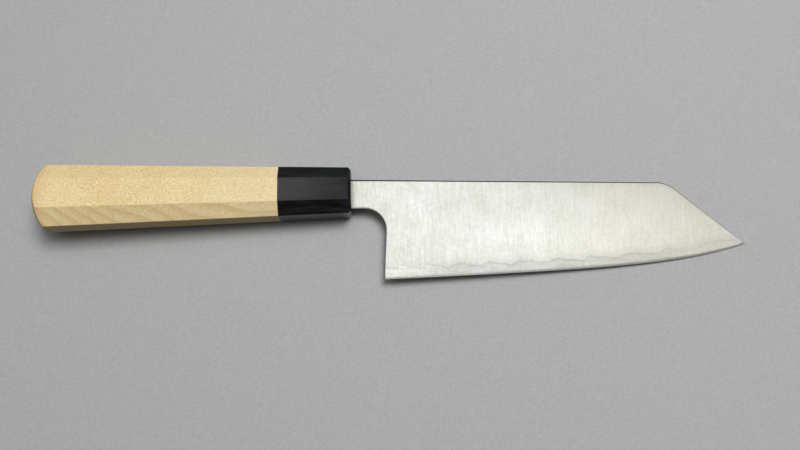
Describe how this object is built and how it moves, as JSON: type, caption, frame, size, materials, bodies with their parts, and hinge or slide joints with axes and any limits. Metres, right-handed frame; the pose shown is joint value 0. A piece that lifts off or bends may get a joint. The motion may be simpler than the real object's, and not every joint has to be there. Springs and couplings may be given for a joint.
{
  "type": "bunka knife",
  "caption": "Bunka kitchen knife with an angled tip, a laminated steel blade with a wavy cladding line, a black ferrule and a pale octagonal wooden handle.",
  "frame": {"origin": "middle of the bounding box in X and Y, at its bottom", "axes": "+X from the butt to the tip, +Y from the edge to the spine, +Z out of the blade's right face"},
  "size_m": [0.3238, 0.055, 0.0226],
  "materials": {
    "core_steel": "satin, fine hairlines from spine to edge",
    "cladding_steel": "satin, fine hairlines from spine to edge",
    "ferrule_black": "polished",
    "handle_wood": "planed, light oil",
    "dowel_wood": "raw",
    "resin": "cast"
  },
  "bodies": {
    "root": {"blade_core": "core_steel", "right_cladding": "cladding_steel", "left_cladding": "cladding_steel", "ferrule": "ferrule_black", "handle_body": "handle_wood", "dowel": "dowel_wood", "tang_bedding": "resin"}
  },
  "joints": []
}
